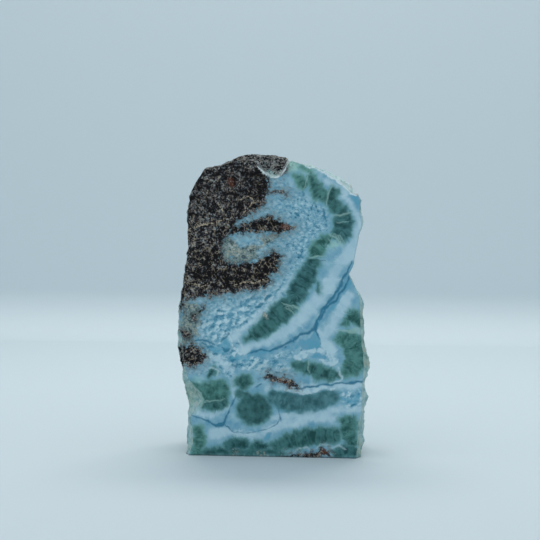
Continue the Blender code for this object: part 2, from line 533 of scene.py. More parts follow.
def noise_vectors(places, scale, shift):
    """A smooth random vector for each place."""
    offset = Vector((shift, -shift, 2 * shift))
    return np.array([noise.noise_vector(Vector(p) * scale + offset) for p in places.tolist()])


def ease(values, start, end):
    """0 before start, 1 after end, and a smooth rise between, for whole arrays."""
    share = np.clip((values - start) / (end - start), 0, 1)
    return share * share * (3 - 2 * share)


depth = spots[:, 1] - FRONT / MM
deep = ease(depth, 0, DRIFT_FULL)
wander = noise_vectors(spots, DRIFT_GRAIN, 5.0) * (DRIFT * deep)[:, None]
for amount, scale in RAGGED:
    wander += amount * noise_vectors(spots, scale, 11.0)
draw_x = spots[:, 0] - ZERO_X / MM
draw_z = spots[:, 2].copy()
draw_x += (PULL_TO[0] - draw_x) * PULL_IN * deep + wander[:, 0]
draw_z += (PULL_TO[1] - draw_z) * PULL_IN * deep + wander[:, 2]
print("places drift by up to", round(float(np.abs(wander).max()), 1), "mm")


def store(name, values):
    """Keeps one number for each point of the mesh under a name that the material reads."""
    layer = mesh.attributes.new(name, "FLOAT", "POINT")
    layer.data.foreach_set("value", np.asarray(values, np.float32))


# %% [markdown]
# ## Brush strokes and outlines
#
# Most features are bands of changing width, so each is a stroke: a few points with a radius at each,
# all in millimetres. A place lies as deep in a stroke as its radius there less the distance from its
# line. The stroke also tells how far along it the place is, and the fibres, which stand across the
# band and fan out round its ends, are drawn from that number. The basalt has outlines instead.

# %% Measure places against strokes and outlines
FAR = -1e3


def in_stroke(stroke):
    """For each place: millimetres inside the stroke, millimetres along it, and the side."""
    inside = np.full(len(draw_x), FAR)
    along = np.zeros(len(draw_x))
    side = np.ones(len(draw_x))
    travelled = 0.0
    pairs = list(zip(stroke, stroke[1:])) or [(stroke[0], stroke[0])]
    for (ax, az, a_radius), (bx, bz, b_radius) in pairs:
        length = math.hypot(bx - ax, bz - az)
        way_x, way_z = ((bx - ax) / length, (bz - az) / length) if length else (1.0, 0.0)
        run = np.clip((draw_x - ax) * way_x + (draw_z - az) * way_z, 0, length)
        off_x = draw_x - ax - run * way_x
        off_z = draw_z - az - run * way_z
        radius = a_radius + (b_radius - a_radius) * run / max(length, 1e-6)
        level = radius - np.hypot(off_x, off_z)
        crosswise = off_z * way_x - off_x * way_z
        fan = np.arctan2(off_x * way_x + off_z * way_z, np.abs(crosswise))
        nearer = level > inside
        inside = np.where(nearer, level, inside)
        along = np.where(nearer, travelled + run + radius * fan, along)
        side = np.where(nearer, np.sign(crosswise), side)
        travelled += length
    return inside, along, side


def deepest(strokes):
    """How deep each place lies in the deepest of several strokes."""
    return np.max([in_stroke(stroke)[0] for stroke in strokes.values()], axis=0)


def store_lines(name, strokes):
    """Stores thin lines so that they stay whole between the points of the mesh.

    A distance that is stored without a sign never reaches nothing between two points. So each line
    keeps the distance from its middle with the sign of its side, and its half width.
    """
    best = np.full(len(draw_x), FAR)
    offset = np.zeros(len(draw_x))
    for stroke in strokes.values():
        inside, _, side = in_stroke(stroke)
        middle = in_stroke(tuple((x, z, 0.0) for x, z, _ in stroke))[0]
        nearer = inside > best
        best = np.where(nearer, inside, best)
        offset = np.where(nearer, side * middle, offset)
    store(name, best)
    store(name + "_offset", offset)
    store(name + "_width", best + np.abs(offset))


def in_outline(outline):
    """Millimetres inside a closed outline, negative outside it."""
    nearest = np.full(len(draw_x), -FAR)
    within = np.zeros(len(draw_x), bool)
    for (ax, az), (bx, bz) in zip(outline, outline[1:] + outline[:1]):
        length = math.hypot(bx - ax, bz - az)
        run = np.clip(((draw_x - ax) * (bx - ax) + (draw_z - az) * (bz - az)) / length ** 2, 0, 1)
        off = np.hypot(draw_x - ax - run * (bx - ax), draw_z - az - run * (bz - az))
        nearest = np.minimum(nearest, off)
        if az != bz:
            crosses = (draw_z < az) != (draw_z < bz)
            within ^= crosses & (draw_x < ax + (draw_z - az) * (bx - ax) / (bz - az))
    return np.where(within, nearest, -nearest)


# %% [markdown]
# ## The green bands
#
# The outer ends of the sprays are green. They lie as chains of lobes: an arc from the crown of the
# stone to its right edge, a long arm back down to the middle left, a band on the right, and rows and
# round eyes near the foot. Each stroke has a tone, from 0 for a bluish green to 1 for a grassy one, and
# some are calm, with even edges and hardly a fibre. Thin pale fibres cross some bands, and dark lines of
# painted shadow lie under a few of these.

# %% Lay out the green
GREEN = {
    "crown": ((7.5, 93.6, 0.8), (8.8, 92.8, 1.5), (10.2, 91.2, 1.8)),
    "crown_low": ((12.8, 92.6, 1.4), (14.5, 90, 2.1), (16, 87.5, 2.4), (17.2, 86, 1.4)),
    "crown_tip": ((10, 96.4, 0.7), (12, 95.3, 0.7), (14, 93.5, 0.5)),
    "crest": ((20.5, 88.5, 1.7), (19.5, 85.5, 2.2), (21, 83.5, 2.4)),
    "fan": ((23, 81.5, 2.3), (23.7, 79, 3.4), (23.2, 75.5, 3.2), (21, 74.5, 1.7)),
    "elbow": ((18, 73, 1.5), (16, 71, 2.3), (14.5, 68.5, 2.3)),
    "arm_upper": ((13.5, 64.5, 2.5), (12, 61.5, 3.2), (9.5, 57.5, 3.2), (8, 54.5, 3.1)),
    "arm_lower": ((5.5, 51, 3.2), (2.5, 48, 3.7), (-0.5, 45, 3.2), (-3.5, 42.5, 2.7), (-6.5, 40.5, 1.8),
                  (-8.5, 39.3, 0.7)),
    "tuft": ((15.1, 58.3, 0.2), (15.6, 56.3, 0.6), (15.8, 55, 0.2)),
    "right_head": ((23.5, 45, 0.8), (25.5, 46, 1.7), (27, 47.5, 2.2), (28.5, 46, 2)),
    "right_body": ((23, 40, 2), (26, 39.5, 3.3), (28, 37, 4.3), (28.5, 33.5, 4.3), (27, 31, 3.3),
                   (25, 29, 2)),
    "blobs": ((7, 31.5, 0.8), (9, 30.5, 1.5), (11.5, 30, 2.2), (14, 29.5, 2.3), (16.5, 28.5, 2.7),
              (19.5, 28, 2.3), (21.5, 28, 1.3)),
    "shelf": ((0.5, 20, 2.3), (3.5, 19, 3), (6.5, 18.5, 3), (10, 18, 2.8), (13.5, 18.5, 2.7),
              (16.5, 19.5, 2.7), (20, 20.5, 2.3)),
    "left_block": ((-26.5, 24, 1.3), (-24.5, 22, 2.5), (-20.5, 22, 3), (-17, 23, 2.8), (-16.5, 20.5, 2.3),
                   (-21.5, 20, 2.3)),
    "left_step": ((-22.5, 16.8, 1.4), (-19, 16.8, 1.8), (-16, 18, 1.5)),
    "scar": ((-30, 23, 2), (-29, 19, 3), (-30, 15, 1.5)),
    "left_oval": ((-21, 26.8, 0.9), (-19.3, 28.4, 1.1)),
    "twin": ((-11, 25, 1.8), (-8.5, 25.5, 2.1), (-10, 23.2, 1.2)),
    "eye": ((-6.3, 16, 5.4), (-5.6, 16, 5.4)),
    "eye_top": ((-11, 21.3, 1.2), (-8.7, 20.9, 1.3)),
    "corner": ((-25, 8.5, 1.7), (-24, 6.5, 2), (-24.5, 4, 2), (-25.5, 1.5, 2)),
    "foot_base": ((-26, 0.8, 1), (-22, 1.2, 1.2), (-17.5, 1.6, 1.4), (-12.5, 1.4, 1.3), (-7.5, 1.6, 1.3),
                  (-3.5, 1.3, 1.2), (1, 1.6, 1.3), (5, 1.2, 0.8)),
    "foot_lobes": ((-15, 3.2, 1.6), (-12.5, 4.3, 2), (-9.5, 4, 2)),
    "foot_bead": ((-6.8, 3.2, 1.3), (-4.8, 3.6, 1.9), (-2.4, 3.3, 1.6)),
    "foot_wall": ((1.5, 3.5, 2), (5, 5, 2.7), (9, 6, 3), (13, 7, 3.2), (17, 7.5, 3), (20.5, 7.5, 2.7)),
    "foot_block": ((24, 12.5, 1.7), (26.5, 12, 2.3), (25.5, 9, 3), (26.5, 6, 2.3)),
    "foot_right": ((21.5, 1.5, 1.4), (24, 2.6, 2), (27.5, 2.4, 2)),
}
TONES = {"crown": 0.85, "crown_low": 0.6, "crown_tip": 1.0, "scar": 0.9, "crest": 0.45, "fan": 0.3, "elbow": 0.75, "arm_upper": 0.3,
         "arm_lower": 0.4, "right_head": 0.6, "right_body": 0.65, "blobs": 0.45, "shelf": 0.0,
         "left_block": 0.7, "left_step": 0.4, "twin": 0.5, "eye": 0.35, "corner": 0.8,
         "foot_wall": 0.42, "foot_block": 0.6, "foot_right": 0.3}
USUAL_TONE = 0.35
CALM = {"eye": 1.0, "shelf": 0.5, "left_block": 0.6, "twin": 0.5}
TONE_BLEND = 0.8
PALE_FIBRES = {
    "fan_top": ((20, 80.5, 0.15), (23, 81, 0.3), (26, 81.6, 0.15)),
    "fan_mid": ((21.5, 78.4, 0.05), (23, 78.4, 0.15), (25, 79, 0.05)),
    "fan_foot": ((19, 74.5, 0.2), (21.5, 73, 0.4), (23, 71, 0.3), (24, 70, 0.1)),
    "fan_foot_b": ((20, 75, 0.05), (22.5, 73.8, 0.15), (24.2, 71.8, 0.05)),
    "fan_foot_c": ((18.5, 73, 0.05), (20, 71, 0.2), (20.5, 69.5, 0.1)),
    "elbow": ((12.5, 66.6, 0.1), (15, 67, 0.25), (17.5, 67.4, 0.1)),
    "arm": ((3.5, 51.5, 0.1), (6, 50.6, 0.3), (8.5, 50, 0.3), (9.8, 48.5, 0.1)),
    "arm_b": ((4.5, 50, 0.05), (6.5, 49, 0.15), (8, 47.5, 0.05)),
    "wedge": ((21.8, 42.4, 0.1), (25.5, 42.5, 0.5), (28, 42.6, 0.9), (31, 42.7, 1.2)),
    "blob": ((12, 32, 0.15), (12, 30, 0.2), (12.5, 28.3, 0.05)),
    "crown": ((10.3, 89.5, 0.05), (11.5, 92.5, 0.2), (12.5, 95, 0.05)),
    "crest": ((18, 84, 0.15), (18.7, 88, 0.25), (20, 90.5, 0.1)),
    "step": ((-23.5, 18.2, 0.1), (-20, 18.6, 0.2), (-16, 19.3, 0.05)),
    # The scar line is painted highlight along the border of the chip scar.
    "scar": ((-27.1, 24.6, 0.2), (-25.6, 22.8, 0.4), (-23.8, 20.9, 0.5), (-23.1, 18.8, 0.6),
             (-23.8, 16.7, 0.5), (-25.6, 14.6, 0.4), (-26.5, 13.4, 0.1)),
}
# Dark lines of painted shadow under a few of the pale fibres.
FIBRE_SHADOWS = {
    "step": ((-24, 17.2, 0.1), (-20.5, 17.9, 0.25), (-16, 18.6, 0.05)),
    "elbow": ((12.5, 65.8, 0.2), (15, 66, 0.25), (17.3, 65.6, 0.1)),
    "fan": ((19.5, 74, 0.25), (19, 72.5, 0.3), (18, 70.5, 0.1)),
    "fan_b": ((24, 74.5, 0.15), (25.5, 72, 0.1)),
}


def tone_of(strokes, tones, usual):
    """The tone of the strokes near each place, blended over a short distance."""
    weights = 0.0
    total = 0.0
    for name, stroke in strokes.items():
        weight = np.exp(np.clip(in_stroke(stroke)[0] / TONE_BLEND, -40, 20))
        weights = weights + weight
        total = total + weight * tones.get(name, usual)
    return total / weights


green = np.full(len(draw_x), FAR)
green_along = np.zeros(len(draw_x))
STROKE_APART = 40.0
for number, stroke in enumerate(GREEN.values()):
    inside, along, _ = in_stroke(stroke)
    nearer = inside > green
    green = np.where(nearer, inside, green)
    green_along = np.where(nearer, along + STROKE_APART * number, green_along)
store("green", green)
store("green_along", green_along)
store("green_tone", tone_of(GREEN, TONES, USUAL_TONE))
store("green_calm", tone_of(GREEN, CALM, 0.0))
store_lines("fibre", PALE_FIBRES)
store_lines("fibre_shadow", FIBRE_SHADOWS)
print("green covers", round(100 * float((green > 0).mean())), "% of the points")

# %% [markdown]
# ## Milk white, pools of blue, and the lace
#
# Between the green bands the pectolite is a smooth pale porcelain, milk white along some rims, with
# pools of clear blue and a few deep blue hollows. Nearer the basalt it grew round many small gas
# bubbles, which now show as a lace of pale walls round darker cells: fine above, coarse lower down.

# %% Lay out the white, the blue and the lace
# White lines along the polished edge at the notch and the crown: painted highlight where the edge catches
# the light, partly the pale broken edge itself.
RIM_HIGHLIGHTS = {
    "notch": ((-5.4, 97.6, 0.2), (-4, 96, 0.3), (-2.4, 94.6, 0.35), (-0.5, 93.4, 0.4), (1.4, 93.2, 0.4),
              (2.8, 94.2, 0.4), (4, 95.9, 0.35), (5, 97.8, 0.35), (6, 99.2, 0.3)),
    "crown": ((9, 98, 0.1), (11.5, 97, 0.2), (14.7, 95.9, 0.3), (17.6, 94.6, 0.35), (20.2, 92.8, 0.45),
              (22.5, 91.4, 0.45), (24.4, 89.5, 0.4), (26, 88.2, 0.35), (28, 87.6, 0.2)),
}
STAINS = {
    "edge": ((27.7, 88, 0.15), (28.7, 87.4, 0.25), (29.1, 86.2, 0.1)),
}
CROWN_TINT = {
    "tip": ((5.5, 96, 1.2), (7.5, 97.5, 1.6), (10, 96.6, 1.2), (13, 95, 0.8)),
    "elbow": ((19, 71, 0.6), (21, 71, 0.5)),
    "left_edge": ((-25, 25, 0.8), (-25.5, 21, 0.8)),
}
CURLS = {
    "foot_a": ((7.5, 1.5, 0.05), (9, 3, 0.2), (11.5, 3.5, 0.3), (13, 2.4, 0.15)),
    "foot_b": ((14, 2.5, 0.1), (16, 4.4, 0.3), (18.5, 4.4, 0.25), (20, 3, 0.15)),
    "foot_c": ((20, 3, 0.15), (22.5, 4.5, 0.2), (24.5, 3.2, 0.1)),
    "loop": ((-13.8, 39.8, 0.15), (-13.2, 37.5, 0.3), (-11.8, 35.5, 0.3), (-10.5, 34.3, 0.2)),
    "loop_in": ((-11.5, 40, 0.1), (-10.4, 37.5, 0.25), (-9.6, 35.3, 0.2)),
    "bead": ((-22.3, 28.6, 0.1), (-20, 29.6, 0.25), (-17.8, 28.6, 0.25), (-18.5, 26.4, 0.15)),
    "cut": ((22.3, 30.4, 0.2), (22.5, 28.2, 0.4), (23.4, 27.4, 0.4), (22.9, 26.3, 0.35), (21.5, 25.7, 0.3),
            (19.5, 25.3, 0.15)),
}
MILK_BANDS = {
    "under_arm": ((-10, 35.3, 0.7), (-6.5, 37, 0.9), (-3, 38.5, 1.1), (0, 39.5, 1.3), (3.5, 41.5, 1.6),
                  (6.5, 44, 1.9), (9.5, 46.5, 2.1), (12, 49.5, 2.1), (15, 53, 2.0), (17.5, 56, 1.9),
                  (20, 60, 1.8), (22, 63, 1.7)),
    "over_arm": ((-13.5, 39.5, 0.5), (-11.5, 41.5, 0.8), (-8.5, 43.5, 0.9), (-5.5, 46, 0.9),
                 (-3.5, 48.3, 0.8), (0, 51, 0.7), (2, 52.8, 0.6), (4.5, 56, 0.5), (7, 60.5, 0.4)),
    "crack_wall": ((-1.5, 23, 0.3), (2.5, 22.8, 0.4), (20, 23.6, 0.7), (24.5, 24, 0.6), (30, 24.7, 0.5)),
    "under_shelf": ((0, 13, 0.7), (4, 14, 0.9), (9.5, 14.8, 1), (14.5, 15.4, 1), (20, 16, 0.9),
                    (24.5, 16.2, 0.9), (30, 16.5, 0.9)),
    "over_wall": ((-3, 8, 0.8), (0, 9.5, 1), (4, 11, 1.3), (8.5, 12.3, 1.4), (13.5, 13.4, 1.4),
                  (18, 13.8, 1.3), (21, 13.5, 0.8)),
    "bead_wall": ((-21.5, 33, 0.6), (-19.5, 33.5, 0.5), (-17, 32.5, 0.5), (-15.5, 30.5, 0.5),
                  (-13.5, 29.5, 0.5)),
    "left_cream": ((-24.5, 14.5, 0.7), (-20.5, 14, 0.9), (-17, 15.3, 0.9), (-15, 16.8, 0.7)),
    "foot_cream": ((-20, 7.5, 1.2), (-16.5, 8.3, 1.3), (-12.5, 7.3, 0.8), (-7.5, 6.6, 1.0),
                   (-4, 6.8, 1.0)),
    "right_edge": ((18, 92, 0.6), (23, 89, 0.8), (26.5, 83, 0.9), (28.6, 79, 1.1), (28.4, 74, 1.5),
                   (26, 68, 1.8), (23, 66, 1.6)),
    "ridge": ((15.6, 42.5, 0.6), (16.8, 40, 1.2), (18.6, 37.5, 1.3), (19.8, 35.5, 1.1)),
    "field": ((25, 54, 1.8), (23.2, 50, 1.9), (20.5, 45.5, 1.6), (18.5, 41.5, 1.3)),
    "spring": ((-12.2, 26.8, 0.5), (-13, 23, 0.6), (-12.8, 20.5, 0.5)),
}
CAPS = {
    "left": ((8.3, 33.6, 0.8), (9.5, 33.6, 1), (10.6, 34.5, 1.1), (12.5, 35.3, 0.5)),
    "top": ((12.5, 35.5, 0.5), (15.5, 36, 0.5), (18.5, 35.3, 0.5), (20, 34, 0.7), (21, 32.6, 1)),
    "low": ((16.3, 32.6, 0.5), (19.5, 31.5, 0.8), (21, 32, 0.9)),
    "crack": ((4.6, 22.6, 0.3), (7.3, 22.1, 0.5), (10.3, 21.7, 0.6), (12.9, 22.2, 0.7), (15.2, 22.9, 0.5),
              (18.2, 23.4, 0.4), (20.9, 23.4, 0.3)),
    "ring": ((-13.8, 39.8, 0.2), (-13.4, 38, 0.4), (-11.8, 36, 0.5), (-10.6, 34.8, 0.4)),
}
BLUE_POOLS = {
    "pool": ((-20.5, 36.3, 0.8), (-18.5, 35, 1.2), (-16, 36.3, 1.7), (-15, 38.3, 1.3)),
    "cap": ((13.5, 34, 0.7), (15.5, 34.4, 0.9), (17.5, 33.6, 0.7)),
    "triangle": ((14.4, 42.3, 0.4), (14.2, 40, 1.5), (14.2, 38, 2.1), (11.5, 37.6, 1.5), (9.5, 38.4, 0.8)),
    "bits": ((5.2, 37.1, 0.8), (4, 36.3, 0.6)),
    "bits_b": ((8.5, 37.4, 0.7), (8, 36.6, 0.4)),
    "by_vein": ((26.3, 60, 0.6), (24.6, 57, 0.8), (21.8, 52.6, 0.7), (19.2, 49.6, 0.6), (17, 46, 0.4)),
    "edge": ((27.3, 87, 0.8), (28.6, 85, 0.7)),
    "knots": ((17, 18, 0.7), (18, 18.5, 0.6)),
    "knots_right": ((23.5, 19.8, 0.6), (26, 19.3, 0.6), (27, 17.8, 0.7), (28.5, 21.5, 0.6)),
    "spring": ((-13.5, 32.5, 0.8), (-10.5, 33.5, 0.8), (-8, 33, 0.7)),
    "under_shelf": ((3.5, 16, 0.9), (9, 16.3, 0.7)),
    "low_bead": ((-1, 7.3, 1.0), (-1.8, 5.8, 0.8)),
    "lens": ((-9.3, 33.6, 0.3), (-6.6, 34.7, 0.7), (-3.3, 35.3, 0.8), (0, 35.7, 0.5)),
    "in_vein": ((25.3, 61, 0.6), (24, 58, 0.7), (22, 55.5, 0.7), (20.5, 53, 0.7), (18, 50.5, 0.6),
                (16, 47, 0.6), (14.6, 43.6, 0.7)),
}
DEEP_SPOTS = {
    "cell_a": ((-18, 48.9, 0.35), (-16.5, 48.6, 0.3)),
    "cell_b": ((-18.2, 47, 0.4), (-16.5, 46.9, 0.3)),
    "chain_a": ((-8, 50, 0.3), (-7, 50.1, 0.35)),
    "chain_b": ((-5.2, 49.9, 0.3), (-4, 50.5, 0.6), (-3.3, 51.2, 0.3)),
    "chain_c": ((-2.6, 52.5, 0.3), (-1.4, 53.6, 0.6), (-0.4, 54.2, 0.3)),
    "cell_c": ((-15.5, 42, 0.4),),
    "cell_d": ((-14.2, 41, 0.4),),
    "cell_e": ((-12, 45, 0.45),),
    "cell_f": ((-8.5, 45.4, 0.4),),
    "crescent": ((-17, 38.5, 0.2), (-16, 39.6, 0.4), (-14.5, 40.1, 0.25)),
    "crescent_low": ((-13.5, 30.8, 0.2), (-12, 30, 0.4), (-10.5, 31, 0.2)),
    "arm_end": ((-11.3, 38.1, 0.35), (-10.7, 38, 0.3)),
    "by_scrap": ((-21.5, 36.5, 0.3), (-20, 37, 0.3)),
    "green_cell": ((-20, 43.5, 0.6),),
    "knot": ((17, 18, 0.4), (18, 18, 0.25)),
    "knot_right": ((26.8, 17.8, 0.4), (27.6, 18, 0.35)),
    "knot_high": ((28.7, 21.6, 0.35),),
    "net_a": ((4, 86, 0.3), (4.5, 86.5, 0.2)),
    "net_b": ((11, 86, 0.3), (11.5, 85, 0.2)),
    "net_c": ((2.4, 86, 0.2), (3.4, 85.3, 0.3)),
    "net_d": ((10, 89, 0.2), (10.5, 87, 0.3)),
    "net_e": ((13.6, 85, 0.2), (14.6, 83.7, 0.4), (15.2, 82.1, 0.3)),
    "net_f": ((16.6, 82.8, 0.2), (17.6, 81.1, 0.4), (17.9, 79.5, 0.3)),
    "net_g": ((8, 81.4, 0.3), (9, 80.4, 0.3)),
    "net_h": ((12, 79.8, 0.3), (12.9, 78.5, 0.3)),
    "net_i": ((14.9, 77.2, 0.3), (15.9, 76.2, 0.2)),
    "net_k": ((4.4, 77.1, 0.2), (5.7, 77.8, 0.3)),
    "net_m": ((9, 67.6, 0.3), (10, 66.6, 0.3)),
    "net_n": ((11.3, 70.2, 0.2), (12.3, 70.9, 0.3)),
    "net_o": ((6.7, 58.3, 0.3), (7.7, 58.9, 0.2)),
    "net_p": ((3.7, 54.9, 0.3), (4.7, 53.6, 0.2)),
    "pool_a": ((-23, 37.9, 0.3), (-21.7, 37.1, 0.3)),
    "pool_b": ((-19.7, 34.6, 0.4), (-18.3, 34.3, 0.4)),
    "pool_c": ((-23.7, 36.6, 0.2), (-22.3, 35.3, 0.3)),
    "pool_d": ((-21.3, 33.3, 0.3), (-20.7, 32.6, 0.2)),
    "pool_e": ((-17, 36.5, 0.2), (-15.5, 35.5, 0.4), (-14, 36, 0.2)),
    "above_shelf": ((-5.2, 23.4, 0.2), (-4.4, 24.2, 0.35), (-3.6, 24.6, 0.2)),
    "under_vein": ((4.6, 36.9, 0.5),),
    "cap": ((18, 35, 0.35),),
    "cap_b": ((10, 36, 0.35),),
    "ring_eye": ((-12.5, 36.6, 0.5), (-12, 35.6, 0.4)),
    "crescent_b": ((-13.5, 32, 0.4), (-12.5, 32.4, 0.45)),
}
LACE_OUTLINE = [
    (-0.5, 95), (3.5, 92.5), (6, 90.5), (10, 88.5), (13, 85.5), (16, 84.5), (18.5, 81.5), (19, 78.5),
    (18, 76), (16, 74.5), (13, 71.5), (11.5, 67.5), (10, 64), (7.5, 61), (5.5, 57), (2.5, 52.5),
    (1, 50.7), (-3, 47.3), (-7.5, 43.5), (-13, 40.5), (-13, 36), (-16, 31), (-24, 27), (-34, 27),
    (-34, 60), (-10, 62), (2, 66), (-14, 78), (-6, 84),
]
LACE_PATCHES = {
    "grey": ((-8, 31, 1.6), (-2, 30.5, 2.6), (3, 29.5, 2.2), (6, 28, 1.8)),
    "centre": ((-20, 34, 2.5), (-14, 33, 3), (-8, 31.5, 2.5)),
    "by_vein": ((1, 32.5, 1.5), (6, 34.5, 1.2)),
    "right": ((23.5, 20.5, 1.8), (28, 20, 2.6), (26, 16.5, 1.4)),
    "left": ((-24, 30, 2.6), (-18, 30.5, 2.8), (-14, 28.5, 2.2)),
    "foot": ((-6, 7.5, 0.9), (-14, 8.5, 0.8)),
}
COARSE_LACE = {
    "middle": ((-24, 45, 3), (-16, 45, 6), (-14, 38, 5), (-8, 49, 4), (0, 57, 3)),
    "right": ((24, 20.5, 2.4), (28, 19, 2.6)),
    "centre": ((-21, 34, 2.5), (-14, 32.5, 3), (-8, 31.5, 3), (0, 31, 2.5), (5, 29.5, 2)),
}
store_lines("rim_highlight", RIM_HIGHLIGHTS)
store_lines("stain", STAINS)
store_lines("curl", CURLS)
store("crown_tint", deepest(CROWN_TINT))
store("milk", deepest(MILK_BANDS))
store("cap", deepest(CAPS))
store("blue", deepest(BLUE_POOLS))
store("deep_blue", deepest(DEEP_SPOTS))
store("lace", np.maximum(in_outline(LACE_OUTLINE), deepest(LACE_PATCHES)))
store("coarse", deepest(COARSE_LACE))

# %% [markdown]
# ## Veins
#
# The last open cracks filled with dark blue. A vein is no wider than two squares of the mesh, so the
# veins are stored in the same way as the fibres, with the side that a place lies on. Where the main
# vein runs double, its second line has a store of its own: two lines that lie closer than their
# neighbours on the mesh would otherwise spoil each other.

# %% Lay out the veins
VEINS = {
    "main": ((26.2, 65.5, 0.25), (25, 62, 0.35), (23.6, 59.8, 0.4), (22.2, 56.7, 0.4), (21, 54.8, 0.4),
             (18.4, 51.6, 0.4), (16.5, 49.2, 0.4), (15.5, 46.7, 0.45), (14.9, 44.5, 0.5), (14, 43.1, 0.7),
             (11.5, 41.9, 0.5), (8.9, 40.7, 0.5), (6.8, 39.1, 0.5), (4.2, 38, 0.45), (1.7, 36.5, 0.45),
             (-0.7, 35.6, 0.4), (-4, 35.9, 0.25), (-7.5, 34.8, 0.2)),
    "fork": ((14.6, 43, 0.3), (15.2, 41, 0.15), (16.5, 38, 0.05)),
    "crack": ((8, 23.1, 0.3), (9.5, 23.2, 0.4), (12.6, 23.6, 0.4), (14.1, 24.2, 0.35), (16.7, 24.6, 0.3),
              (20, 24.8, 0.3), (23, 25.3, 0.35), (24.9, 25, 0.35), (26.7, 25.4, 0.5), (30.5, 26, 0.35)),
    "left_net": ((-27, 13.4, 0.15), (-24, 12.6, 0.2), (-21, 11.5, 0.3), (-18.5, 10.2, 0.5),
                 (-16.2, 10.8, 0.6), (-15.2, 13, 0.3), (-14, 16, 0.25), (-13.2, 18, 0.3), (-12, 20, 0.2)),
    "low_net": ((-15.5, 10.3, 0.2), (-13.5, 8.6, 0.1), (-10.5, 8, 0.05), (-6.5, 8, 0.05), (-3, 8.9, 0.05),
                (0.5, 10.5, 0.05), (2.5, 12, 0.1)),
    "stub": ((2.5, 16, 0.05), (2.8, 14.5, 0.1), (3, 12.8, 0.3)),
    "left_crack": ((-26.5, 38.7, 0.3), (-23.5, 39, 0.4), (-21.5, 38.6, 0.3), (-19.8, 37.7, 0.25)),
}
TWIN_VEIN = {
    "upper": ((25.6, 60.5, 0.2), (25, 58.8, 0.4), (23.6, 56.4, 0.45), (22.2, 54.2, 0.45),
              (20.4, 52, 0.45), (18, 50.2, 0.4), (16.9, 48.6, 0.3), (16, 46, 0.2)),
}
store_lines("vein", VEINS)
store_lines("twin_vein", TWIN_VEIN)

# %% [markdown]
# ## Basalt
#
# The dark host rock fills the upper left and sends two tongues into the blue. Between the tongues and
# down the left edge it is altered to a grey-green and tan crumb. Small scraps of it float lower down.
# Thin cream veinlets cross it, and a few spots are rusty.

# %% Lay out the basalt
BASALT_OUTLINE = [
    (-34, 106), (6.8, 103), (6.8, 98.9), (5, 96.3), (3.3, 93.9), (-0.3, 94.2), (-2.2, 95.4), (-1.2, 92.5),
    (-0.6, 89.6), (-1.6, 86.3), (-2.6, 84), (-4.6, 82.3), (-6.6, 80.9), (-8.6, 79.6), (-11.2, 78.3),
    (-13.6, 76.7), (-9.9, 77.7), (-6.6, 78.6), (-3.3, 79.7), (-0.5, 80.8), (1.5, 79.5), (4, 78), (7, 76.5),
    (5.5, 75), (2.5, 74.5), (-1.5, 75), (-6.5, 75), (-11, 74.8), (-14, 74.4), (-16.4, 72), (-17, 69),
    (-16.2, 65.5), (-12.5, 64.5), (-6.5, 65), (-3.5, 66), (-1, 67.5), (0.5, 69), (2, 68.5), (3.5, 67),
    (2, 65), (2.5, 63.5),
    (1.5, 61.5), (-1.5, 60.5), (0, 59), (-3, 56.5), (-6, 55.5), (-9.5, 56), (-12.5, 55), (-16, 54.5),
    (-20, 53.5), (-25, 53.5), (-27.5, 52.5), (-30.5, 51.5), (-34, 51.5),
]
BASALT_SCRAP = [
    (-34, 37), (-28.5, 36.8), (-26.5, 37.2), (-24, 36.2), (-22, 33.5), (-22.8, 31.5), (-26, 30.2),
    (-28.5, 30), (-34, 31),
]
BASALT_SPECKS = {
    "streak": ((-1.5, 27.2, 0.8), (0, 26.4, 1.1), (2, 25.9, 0.9), (4, 26, 1.1), (6.3, 24.8, 1.1),
               (8.3, 23.8, 0.7)),
    "foot": ((4, 0.1, 0.3), (6.1, 0.4, 0.5), (9.4, 0.5, 0.6), (13, 0.6, 0.6), (17.3, 1.9, 1.4),
             (19, 1.2, 0.7)),
    "lace_streak": ((0.5, 88.5, 0.2), (2.5, 88.5, 0.3), (5, 88, 0.3)),
    "left_a": ((-26, 46.6, 0.9), (-25.4, 46, 0.6)),
    "left_b": ((-30.5, 42, 0.9), (-29, 41, 1.1), (-27.5, 39.6, 0.8)),
    "left_c": ((-23, 49.5, 0.5), (-24, 48.2, 0.5)),
    "left_d": ((-30.3, 50, 0.8), (-29.8, 47.8, 0.4)),
}
CRUMB = {
    "pocket": ((-14.5, 70.5, 3.2), (-10.5, 68.5, 3.1), (-5.5, 69.2, 3.4), (-2, 71, 2.6), (2, 73.3, 1.5)),
    "pocket_rim": ((-16.5, 72, 1.5), (-16.5, 68, 1.8), (-14.5, 65.5, 1.5)),
    "pocket_low": ((-12, 66, 2.0), (-7.5, 66.5, 1.6)),
    "left": ((-28.5, 50.5, 1.6), (-26.5, 48.5, 2.6), (-27.5, 44.5, 3.1), (-26.8, 41.5, 2.3),
             (-28.5, 39, 1.9)),
    "inclusion": ((2, 65, 1.1),),
    "in_arm": ((-3, 48, 0.5), (-2, 47.3, 0.4)),
    "foot": ((-12.8, 0.7, 0.5), (-11.8, 0.9, 0.4)),
    "foot_b": ((-4, 0.6, 0.5), (-2.5, 0.5, 0.4)),
    "wedge_edge": ((-15, 75.8, 0.6), (-11.5, 76.6, 0.5)),
}
POCKET_BLUE = {
    "a": ((-12.5, 73.2, 0.9), (-10, 71, 1.2), (-6, 72.3, 1.3), (-4, 71.5, 1.0)),
    "b": ((-4, 68.3, 1.3), (-0.5, 69.8, 1.5), (3, 72.5, 1.2)),
}
